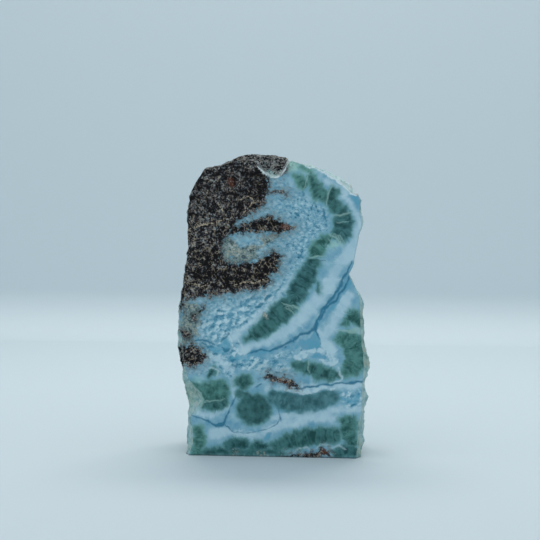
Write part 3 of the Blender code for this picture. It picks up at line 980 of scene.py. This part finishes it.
VEINLETS = {
    "left": ((-28, 75, 0.05), (-24.5, 77, 0.2), (-22, 77.5, 0.3), (-19.5, 78, 0.15), (-16, 79, 0.1)),
    "upright": ((-18, 84.5, 0.05), (-17, 82.5, 0.2), (-15.5, 80, 0.1)),
    "low": ((-30.5, 57.6, 0.05), (-25.5, 57.5, 0.15), (-22.5, 56.9, 0.25), (-20.5, 58, 0.1)),
    "blue": ((-12, 57.5, 0.1), (-9.5, 58.5, 0.2), (-5.5, 58.5, 0.2), (-3, 59, 0.1)),
    "top_edge": ((-19, 98, 0.05), (-15, 98.8, 0.2), (-11, 99, 0.1)),
    "loop": ((-11, 85.5, 0.05), (-7.5, 87, 0.15), (-5.5, 85, 0.15), (-9.5, 81.5, 0.05)),
}
DARK_ROCK = {
    "tongue": ((-13, 76, 1.5), (-5, 77, 1.5), (1, 77, 1.5)),
    "low_tongue": ((-14, 60, 2.5), (-7, 61.5, 2.5), (-1, 63, 2.5), (1.5, 66, 1.5)),
    "edge": ((-5, 92, 2), (-6, 86, 2)),
    "low_left": ((-22, 61, 3), (-20, 66, 2)),
    "foot": ((3, 0, 1), (12, 0, 1)),
}
RUST = {
    "basalt": ((-13.5, 92, 0.9), (-13, 90.5, 0.6)),
    "tongue": ((4, 77, 0.8), (5.5, 76.5, 0.6)),
    "foot": ((17.5, 2.3, 0.8), (18, 1.8, 0.6)),
    "streak": ((2.2, 25.4, 0.2), (4.5, 25.0, 0.3)),
}
basalt = np.maximum(in_outline(BASALT_OUTLINE), in_outline(BASALT_SCRAP))
store("basalt", np.maximum(basalt, deepest(BASALT_SPECKS)))
store("crumb", deepest(CRUMB))
store("pocket_blue", deepest(POCKET_BLUE))
store("dark_rock", deepest(DARK_ROCK))
store("rust", deepest(RUST))
store_lines("veinlet", VEINLETS)
print("basalt covers", round(100 * float((basalt > 0).mean())), "% of the points")

# %% [markdown]
# ## The finish of the stone
#
# One material covers the stone. It stacks the layers in the order in which they grew: porcelain, lace,
# green, veins, basalt. The noises only break up the edges that were laid out above and add what is too
# small to lay out: fibres, bubble walls, grains.

# %% Noises and lines for the finish
finish, shade, surface = new_material("larimar_stone_finish")
place = shade.scaled(shade.node("ShaderNodeTexCoord", output="Object"), 1 / MM, 1 / MM, 1 / MM)
GROWTH_SLOPE = math.radians(38)


def along_growth(length, width):
    """The place turned to the slope of the growth, for grain that is longer than it is wide."""
    return shade.node("ShaderNodeMapping", {"Vector": place, "Rotation": (0, GROWTH_SLOPE, 0),
                                            "Scale": (1 / length, 1 / width, 1 / width)})


def moved(vector, amount):
    return shade.node("ShaderNodeVectorMath", [vector, amount], operation="ADD")


def luck(vector, scale, output=0):
    """A random number for each grain; each output is another one."""
    colours = shade.cells(vector, scale, output="Color")
    return shade.node("ShaderNodeSeparateXYZ", [colours], output=output)


def line(name, wobble=0.0, soft=0.14):
    """How far a stored line covers a place: its half width less the distance from its middle."""
    edge = shade.attribute(name + "_width") - abs(shade.attribute(name + "_offset")) + wobble
    return edge.step(-soft, soft) * shade.attribute(name).step(-0.45, -0.25)


cloud = shade.noise(place, 0.33, 3)
mid = shade.noise(place, 0.62, 3)
haze = shade.noise(place, 0.7, 1)
fine = shade.noise(place, 1.8, 3, 0.6)
bend = shade.node("ShaderNodeTexNoise", {"Vector": place, "Scale": 0.9}, output="Color")
bent = shade.node("ShaderNodeVectorMath", [place, shade.scaled(bend, 1.2, 1.2, 1.2)], operation="ADD")

green_depth = shade.attribute("green")
green_along = shade.attribute("green_along")
across_band = shade.node("ShaderNodeCombineXYZ", [green_along, green_depth * 0.16, 0.0])
far_across = shade.node("ShaderNodeCombineXYZ", [green_along, green_depth * 0.10, 5.0])
lobes = shade.noise(shade.node("ShaderNodeCombineXYZ", [green_along, 0.0, 0.0]), 0.3, 1)
fibre = shade.noise(across_band, 0.8, 3, 0.55)
rays = shade.noise(far_across, 0.42, 3, 0.55)

# %% [markdown]
# ### Porcelain, milk and blue
#
# The fibres of each spray run on past its green end, so the porcelain is streaked with the same rays.
# A ramp of close colours on a noise gives softer changes than masks between flat colours.

# %% Paint the porcelain
PORCELAIN_BLUE = chip(98, 154, 180)
PORCELAIN = chip(120, 168, 188)
PORCELAIN_PALE = chip(144, 184, 200)
MILK_SHADE = chip(150, 188, 204)
MILK = chip(174, 205, 217)
SKY = chip(88, 156, 182)
CROWN_PALE = chip(156, 202, 190)
INK = chip(40, 112, 138)

body = shade.ramp(cloud * 0.6 + rays * 0.4, (0.38, PORCELAIN_BLUE), (0.5, PORCELAIN),
                  (0.62, PORCELAIN_PALE))
milk = (shade.attribute("milk") + (mid - 0.5) * 1.0 + (rays - 0.5) * 2.4).step(-1.3, 0.6)
milky = (rays * 0.55 + cloud * 0.45).step(0.32, 0.66)
colour = shade.mix(milk, body, shade.mix(milky, MILK_SHADE, MILK))
crown_tint = (shade.attribute("crown_tint") + (cloud - 0.5) * 3.0).step(-1.5, 1.0)
colour = shade.mix(crown_tint * 0.85, colour, CROWN_PALE)
sky = (shade.attribute("blue") + (mid - 0.5) * 1.2).step(-0.5, 0.35)
colour = shade.mix(sky * 0.9, colour, shade.mix(cloud.step(0.4, 0.6), SKY, PORCELAIN_BLUE))

# %% [markdown]
# ### Lace
#
# The fine lace is froth: a noise gives lighter and darker curds, and small cells give the bubbles. Both
# go through one ramp, from dark hollows to pale walls, so the crumbs have every tone between. In the
# coarse lace each bubble is shaded as if it stood in relief: the difference between the cells here and
# a little lower down gives it painted shade on its upper edge and painted light on its lower one.

# %% Paint the lace
LACE_SPECK = chip(46, 98, 120)
LACE_BLUE = chip(88, 146, 170)
LACE_BASE = chip(118, 165, 185)
LACE_WALL = chip(150, 189, 204)
LACE_WHITE = chip(178, 208, 218)
LACE_GREY = chip(112, 148, 162)
BUBBLE = 0.55
BUBBLE_SHIFT = (0.30, 0.0, -0.42)
SMALL_BUBBLE = 0.95

curd = shade.noise(along_growth(1.2, 0.8), 0.9, 4, 0.68, 0.2)
froth = shade.cells(bent, SMALL_BUBBLE) * 0.18 + curd * 0.66 + (mid - 0.5) * 0.5 + 0.09
fine_lace = shade.ramp(froth, (0.34, LACE_SPECK), (0.40, LACE_BLUE), (0.50, LACE_BASE), (0.60, LACE_WALL),
                       (0.72, LACE_WHITE))
speck = shade.noise(along_growth(1.3, 0.85), 1.25, 4, 0.7)
fine_lace = shade.mix(speck.step(0.57, 0.63) * mid.step(0.40, 0.54) * 0.85, fine_lace, LACE_SPECK)
fine_lace = shade.mix(speck.step(0.42, 0.36) * 0.5, fine_lace, LACE_WHITE)
# Painted shade and light: each coarse bubble is darkened on its upper edge and lightened on its lower one,
# as if it stood in relief.
dome_shading = shade.cells(moved(bent, BUBBLE_SHIFT), BUBBLE) - shade.cells(bent, BUBBLE)
shaded_relief = (dome_shading * (cloud.step(0.36, 0.6) * 0.9 + 0.4) + (curd - 0.5) * 0.9 + (fine - 0.5) * 0.3
          + (cloud - 0.5) * 0.8 + 0.53)
coarse_lace = shade.ramp(shaded_relief, (0.16, INK), (0.32, LACE_BLUE), (0.46, LACE_BASE), (0.62, LACE_WALL),
                         (0.80, LACE_WHITE))
coarse = (shade.attribute("coarse") + (mid - 0.5) * 3.0).step(-1.5, 1.5)
lace = (shade.attribute("lace") + (mid - 0.5) * 3.0 + (fine - 0.5) * 1.5).step(-0.5, 0.5)
lace_colour = shade.mix(coarse, fine_lace, coarse_lace)
near_rock = (shade.attribute("basalt") + (cloud - 0.5) * 8).step(-6, -0.5)
lace_colour = shade.mix(near_rock * 0.4, lace_colour, LACE_GREY)
lace_colour = shade.mix(sky * 0.75, lace_colour, SKY)
lace_colour = shade.mix(milk * 0.8, lace_colour, MILK)
colour = shade.mix(lace, colour, lace_colour)
ink = (shade.attribute("deep_blue") + (fine - 0.5) * 0.6).step(-0.3, 0.25)
colour = shade.mix(ink * 0.85, colour, INK)

# %% [markdown]
# ### Green sprays
#
# The depth in the stroke gives the green, from a pale edge to a dark core. A slow noise along the band
# pushes its edge out and in and so makes the lobes, and a quick one makes the fibres and the wisps in
# which they end. Where a stroke is calm, both are held back.

# %% Paint the green
HALO = chip(108, 160, 174)
EDGE_TEAL = chip(74, 128, 138)
EDGE_GRASS = chip(106, 158, 152)
BLUISH_GREEN = chip(78, 128, 136)
DEEP_GREEN = chip(60, 112, 114)
GRASS_GREEN = chip(94, 150, 142)
DARK_TEAL = chip(34, 84, 92)
DARK_GREEN = chip(18, 66, 68)
DARK_GRASS = chip(38, 92, 86)
FIBRE_PALE = chip(146, 184, 180)

tone = shade.attribute("green_tone")
lively = 1 - shade.attribute("green_calm") * 0.85
spray = (green_depth + 0.15 + (lobes - 0.5) * 1.8 * lively + (fibre - 0.5) * 1.8 * lively
         + (rays - 0.5) * 2.2 * lively + (mid - 0.5) * 1.6)
inner = spray.step(0.2, 1.8)
colour = shade.mix(spray.step(-1.8, 0.0) * 0.45, colour, HALO)
colour = shade.mix(spray.step(-0.9, 0.6), colour, shade.mix(tone, EDGE_TEAL, EDGE_GRASS))
mottle = (fibre - 0.5) * 0.7 * lively + (rays - 0.5) * 0.8 * lively + haze * 0.4 + cloud * 0.6
deep = shade.ramp(tone, (0.0, DARK_TEAL), (0.35, DARK_GREEN), (1.0, DARK_GRASS))
light = shade.ramp(tone, (0.0, BLUISH_GREEN), (0.35, DEEP_GREEN), (1.0, GRASS_GREEN))
core = shade.mix(mottle.step(0.28, 0.72), deep, light)
colour = shade.mix(spray.step(-0.3, 1.3), colour, core)
# Painted shadow: dark lines under a few of the pale fibres.
colour = shade.mix(line("fibre_shadow", (fine - 0.5) * 0.3, 0.25) * 0.6, colour, DARK_GREEN)
colour = shade.mix(line("fibre", (fine - 0.5) * 0.5, 0.32) * 0.66, colour, FIBRE_PALE)

# %% [markdown]
# ### Veins and white caps
#
# The veins are soft at their edges, because their blue soaked into the porcelain. The caps are the
# white ends of sprays: they overlie the green and end sharply, as do a few white threads.

# %% Paint the veins and caps
VEIN_BLUE = chip(38, 108, 136)
CAP_WHITE = chip(180, 209, 219)
colour = shade.mix(line("vein", (mid - 0.5) * 0.9, 0.35) * 0.9, colour, VEIN_BLUE)
colour = shade.mix(line("twin_vein", (mid - 0.5) * 0.9, 0.35) * 0.9, colour, VEIN_BLUE)
cap = (shade.attribute("cap") + (mid - 0.5) * 1.8 + (fine - 0.5) * 0.4).step(-0.35, 0.3)
colour = shade.mix(cap * 0.85, colour, shade.mix(mid.step(0.36, 0.56), MILK_SHADE, CAP_WHITE))
colour = shade.mix(line("curl", (fine - 0.5) * 0.6, 0.4) * mid.step(0.34, 0.52) * 0.7, colour, CAP_WHITE)

# %% [markdown]
# ### Basalt
#
# Every grain of the basalt gets its own random tone: most are black, some grey, a few cream. They
# gather in clots, and the cream also runs between them as a broken web. Noise and whole grains decide
# where the rock ends, so its edge is crumbly, with a zone of altered crumbs before the lace.

# %% Paint the basalt
BASALT_BLACK = chip(5, 5, 7)
BASALT_DARK = chip(33, 35, 40)
BASALT_GREY = chip(76, 88, 96)
BASALT_BROWN = chip(92, 80, 74)
GRAIN_PALE = chip(138, 144, 142)
GRAIN_CREAM = chip(180, 168, 146)
# The darkest crumb colour also paints the contact shadow along the foot.
CRUMB_DARK_AND_SHADOW = chip(58, 66, 68)
CRUMB_GREEN = chip(84, 106, 102)
CRUMB_GREY = chip(112, 138, 142)
CRUMB_TAN = chip(146, 144, 122)
CRUMB_PALE = chip(158, 180, 184)
RUST_BROWN = chip(116, 66, 42)

grain = luck(bent, 1.2)
small_grain = luck(bent, 2.5)
clot = shade.noise(place, 0.45, 3, 0.6)
rough = grain * 0.26 + small_grain * 0.24 + clot * 1.2 + (fine - 0.5) * 1.1 - 0.36
rough = rough - shade.attribute("dark_rock").step(-2.5, 0.5) * 0.14
stony = shade.mix(luck(bent, 1.2, 1), BASALT_GREY, BASALT_BROWN)
rock = shade.mix(rough.step(0.36, 0.50), BASALT_BLACK, BASALT_DARK)
rock = shade.mix(rough.step(0.50, 0.68), rock, stony)
rock = shade.mix(rough.step(0.70, 0.88), rock, GRAIN_PALE)
creamy = luck(bent, 2.5, 1).step(0.93, 0.97) * clot.step(0.46, 0.56)
rock = shade.mix(creamy * 0.35, rock, GRAIN_CREAM)
web = shade.cells(bent, 0.75, feature="DISTANCE_TO_EDGE")
low_down = shade.node("ShaderNodeSeparateXYZ", [place], output="Z").step(92, 74)
veined = web.step(0.09, 0.02) * haze.step(0.44, 0.56) * clot.step(0.40, 0.52)
rock = shade.mix(veined * (low_down * 0.30 + 0.12), rock, GRAIN_CREAM)
rock = shade.mix(line("veinlet", (fine - 0.5) * 0.9, 0.2) * fine.step(0.42, 0.52) * 0.75, rock, GRAIN_CREAM)

crumb_edge = shade.attribute("crumb") + (fine - 0.5) * 3.4 + (mid - 0.5) * 4.0
near_dark = shade.attribute("basalt").step(-2.2, 0.2)
crumbs = fine * 0.6 + grain * 0.10 + small_grain * 0.12 + (mid - 0.5) * 0.9 + 0.10 - near_dark * 0.08
crumb = shade.ramp(crumbs, (0.34, CRUMB_DARK_AND_SHADOW), (0.42, CRUMB_GREEN), (0.50, CRUMB_GREY), (0.58, CRUMB_TAN),
                   (0.68, CRUMB_PALE))
pocket_blue = (shade.attribute("pocket_blue") + (fine - 0.5) * 1.8).step(-0.6, 0.8)
crumb = shade.mix(pocket_blue * 0.8, crumb, fine_lace)
colour = shade.mix(crumb_edge.step(-0.9, 0.9) * 0.95, colour, crumb)

basalt_edge = (shade.attribute("basalt") + (grain - 0.5) * 0.9 + (fine - 0.5) * 4.2
               + (mid - 0.5) * 3.4)
basalt_cover = basalt_edge.step(-0.45, 0.45)
altered = (basalt_edge + (mid - 0.5) * 5.0).step(-2.4, 0.3)
colour = shade.mix(altered * 0.6, colour, shade.mix(fine.step(0.40, 0.60), CRUMB_DARK_AND_SHADOW, CRUMB_GREY))
colour = shade.mix(basalt_cover, colour, rock)
rust = (shade.attribute("rust") + (fine - 0.5) * 2.4).step(-0.8, 0.8)
colour = shade.mix(rust * 0.45, colour, RUST_BROWN)
height_up = shade.node("ShaderNodeSeparateXYZ", [place], output="Z")
# Painted contact shadow: the stone is darkened along its bottom edge, less than a millimetre high, just
# above the base, where it meets the floor.
contact_shadow = (height_up + (mid - 0.5) * 1.0).step(0.8, 0.1) * height_up.step(0.0, 0.05)
colour = shade.mix(contact_shadow * 0.6, colour, CRUMB_DARK_AND_SHADOW)

# %% [markdown]
# ### Broken sides and gloss
#
# Where the stone broke it was never polished, so the same colours look chalky, and fibres stand out as
# pale splinters. The polished face is smooth, and the basalt takes a poorer polish than the larimar: it
# has no coat. White lines of painted highlight, partly the pale broken edge, and one orange stain lie
# right on the polished edge, over both.

# %% Broken sides and gloss
BREAK_PALE = chip(176, 200, 194)
BREAK_GREEN = chip(104, 144, 140)
BREAK_CREAM = chip(190, 190, 168)
RIM_HIGHLIGHT_WHITE = chip(214, 230, 234)
STAIN_ORANGE = chip(206, 118, 84)

behind = shade.node("ShaderNodeSeparateXYZ", [place], output="Y").step(FRONT / MM + 0.05, FRONT / MM + 0.2)
splinter = shade.noise(shade.scaled(place, 1.0, 0.35, 0.5), 0.9, 4, 0.65)
chalk = shade.ramp(splinter, (0.36, BREAK_GREEN), (0.54, BREAK_PALE), (0.68, BREAK_CREAM))
sawn = height_up.step(0.04, 0.01)
broken = behind * (1 - sawn * 0.7)
colour = shade.mix(broken * (1 - basalt_cover) * 0.62, colour, chalk)
colour = shade.mix(broken * basalt_cover * (rough.step(0.42, 0.62) * 0.45), colour, GRAIN_PALE)
# Painted highlight: white lines along the polished edge, partly the pale broken edge.
rim_highlight = line("rim_highlight", (fine - 0.5) * 1.0, 0.25) * (1 - behind * 0.7)
colour = shade.mix(rim_highlight * 0.85, colour, RIM_HIGHLIGHT_WHITE)
colour = shade.mix(line("stain", (fine - 0.5) * 0.4, 0.2) * 0.7, colour, STAIN_ORANGE)
height = froth * lace * 0.4 + splinter * broken * 2.2 + fine * (broken * 0.9 + basalt_cover * 0.4)
bump = shade.node("ShaderNodeBump", {"Height": height, "Distance": 0.35 * MM, "Strength": 0.5})
feed(finish, bump, surface.inputs["Normal"])
feed(finish, colour, surface.inputs["Base Color"])
feed(finish, behind * 0.5 + 0.24 + basalt_cover * 0.14, surface.inputs["Roughness"])
feed(finish, (1 - behind) * (1 - basalt_cover) * 0.25, surface.inputs["Coat Weight"])
surface.inputs["Coat Roughness"].default_value = 0.12
surface.inputs["Specular IOR Level"].default_value = 0.10
larimar.data.materials.append(finish)
bpy.context.scene.view_settings.view_transform = "Standard"
print("finish uses", len(finish.node_tree.nodes), "nodes")

# %% [markdown]
# ## A flat layout of the surface
#
# Other programs show this finish as pictures wrapped round the stone, so its surface is laid out flat
# on one square sheet: the polished face large, and the back, the flanks, the top and the base smaller.
# Each face of the break goes with the side that it looks to once the small bumps are averaged away, so
# that every side stays in one piece.

# %% Lay the surface out flat
AVERAGING = 90
FACE_SHARE = 0.0074
BREAK_SHARE = 0.0047
SHEET = {
    "face": ((0.008, 0.008), FACE_SHARE, (1, 0, 0), (0, 0, 1)),
    "back": ((0.505, 0.008), BREAK_SHARE, (-1, 0, 0), (0, 0, 1)),
    "left": ((0.826, 0.008), BREAK_SHARE, (0, -1, 0), (0, 0, 1)),
    "right": ((0.505, 0.496), BREAK_SHARE, (0, 1, 0), (0, 0, 1)),
    "top": ((0.680, 0.496), BREAK_SHARE, (1, 0, 0), (0, 1, 0)),
    "base": ((0.680, 0.674), BREAK_SHARE, (1, 0, 0), (0, -1, 0)),
}


def numbers(items, name, kind, width=1):
    """One or more numbers of every point, edge or face, as an array."""
    found = np.empty(len(items) * width, kind)
    items.foreach_get(name, found)
    return found.reshape(-1, width) if width > 1 else found


corners = numbers(mesh.loops, "vertex_index", np.int32)
starts = numbers(mesh.polygons, "loop_start", np.int32)
ends = numbers(mesh.edges, "vertices", np.int32, 2)
facing = numbers(mesh.vertex_normals, "vector", np.float32, 3).astype(float)
front_point = spots[:, 1] < (FRONT + FLAT) / MM
base_point = spots[:, 2] < FLAT / MM
neighbours = np.bincount(ends.ravel(), minlength=len(spots)) + 1
for _ in range(AVERAGING):
    facing[front_point | base_point] = 0
    total = facing.copy()
    for axis in range(3):
        total[:, axis] += np.bincount(ends[:, 0], facing[ends[:, 1], axis], len(spots))
        total[:, axis] += np.bincount(ends[:, 1], facing[ends[:, 0], axis], len(spots))
    facing = total / neighbours[:, None]

looks = np.add.reduceat(facing[corners], starts)
nothing = np.full(len(starts), -1.0)
side = np.argmax([nothing, looks[:, 1], -looks[:, 0], looks[:, 0], looks[:, 2], nothing], axis=0)
side[np.minimum.reduceat(front_point[corners], starts)] = 0
side[np.minimum.reduceat(base_point[corners], starts)] = 5
corner_side = np.repeat(side, numbers(mesh.polygons, "loop_total", np.int32))
flat_places = np.zeros((len(corners), 2))
for number, (corner, share, across, up) in enumerate(SHEET.values()):
    chosen = corner_side == number
    drawn = spots[corners[chosen]] @ np.array([across, up], float).T
    flat_places[chosen] = corner + (drawn - drawn.min(axis=0)) * share
sheet = mesh.uv_layers.new(name="OFBake")
sheet.data.foreach_set("uv", flat_places.ravel().astype(np.float32))
print("faces on each side:", dict(zip(SHEET, np.bincount(side, minlength=len(SHEET)).tolist())))
print("the sheet is filled up to", flat_places.max(axis=0).round(3).tolist())
